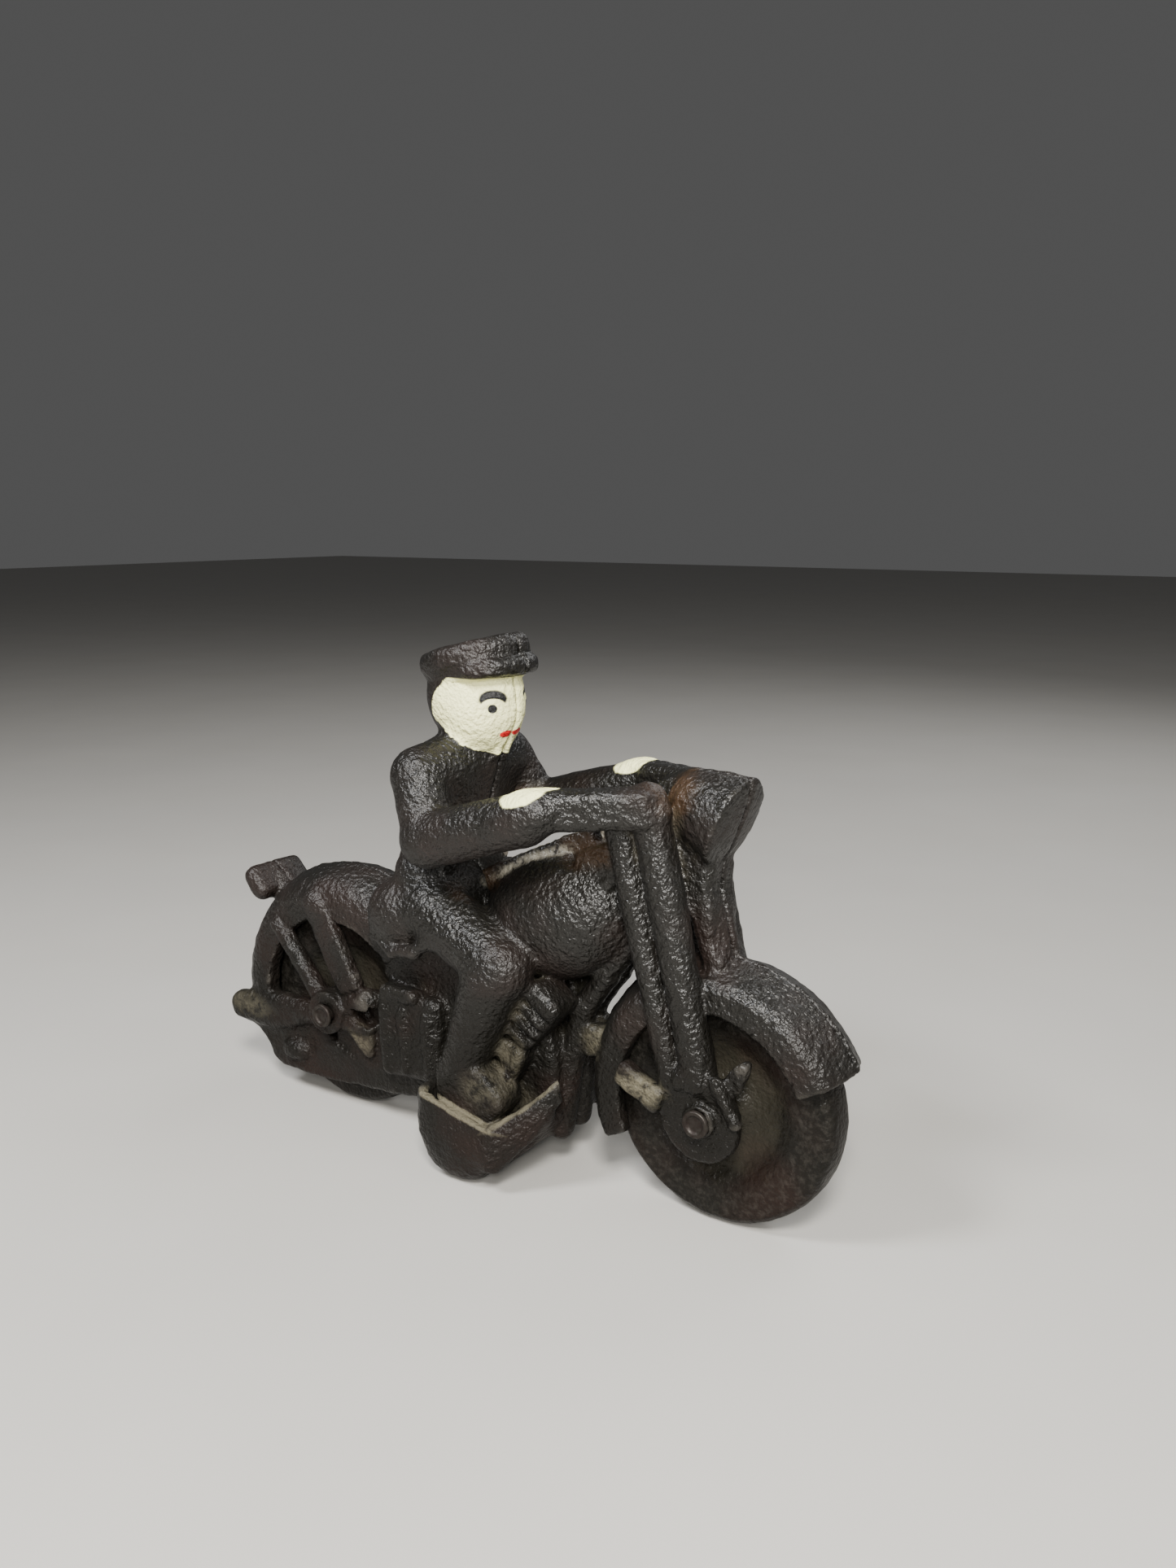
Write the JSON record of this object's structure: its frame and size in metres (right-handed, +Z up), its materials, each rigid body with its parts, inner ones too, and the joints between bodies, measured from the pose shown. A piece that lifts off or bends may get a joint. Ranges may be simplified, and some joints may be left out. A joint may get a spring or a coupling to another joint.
{
  "type": "cast iron still bank",
  "caption": "Cast-metal coin bank in the form of a motorcycle with a capped rider, with a coin slot in the tank top and disc wheels that roll.",
  "frame": {"origin": "centre of the bounding box in X and Y, on the ground plane under the wheels", "axes": "+X forward, the way the motorcycle heads; +Y to the rider's left; +Z up. The castings meet on the plane y = 0"},
  "size_m": [0.1714, 0.052, 0.1184],
  "materials": {
    "black_painted_iron": "satin black paint over rough sand-cast iron",
    "wheel_iron": "worn black paint over cast iron",
    "pin_steel": "dull, dirty steel"
  },
  "bodies": {
    "body": {"right_casting": "black_painted_iron", "left_casting": "black_painted_iron", "front_axle_pin": "pin_steel", "rear_axle_pin": "pin_steel", "body_screw": "pin_steel", "crankcase_screw": "pin_steel"},
    "front_wheel_body": {"front_wheel": "wheel_iron"},
    "rear_wheel_body": {"rear_wheel": "wheel_iron"}
  },
  "joints": [
    {"name": "front_wheel_spin", "type": "hinge", "parent": "body", "child": "front_wheel_body", "pos_m": [0.0575, 0, 0.0255], "axis": [0, 1, 0], "continuous": true},
    {"name": "rear_wheel_spin", "type": "hinge", "parent": "body", "child": "rear_wheel_body", "pos_m": [-0.045, 0, 0.0255], "axis": [0, 1, 0], "continuous": true}
  ]
}
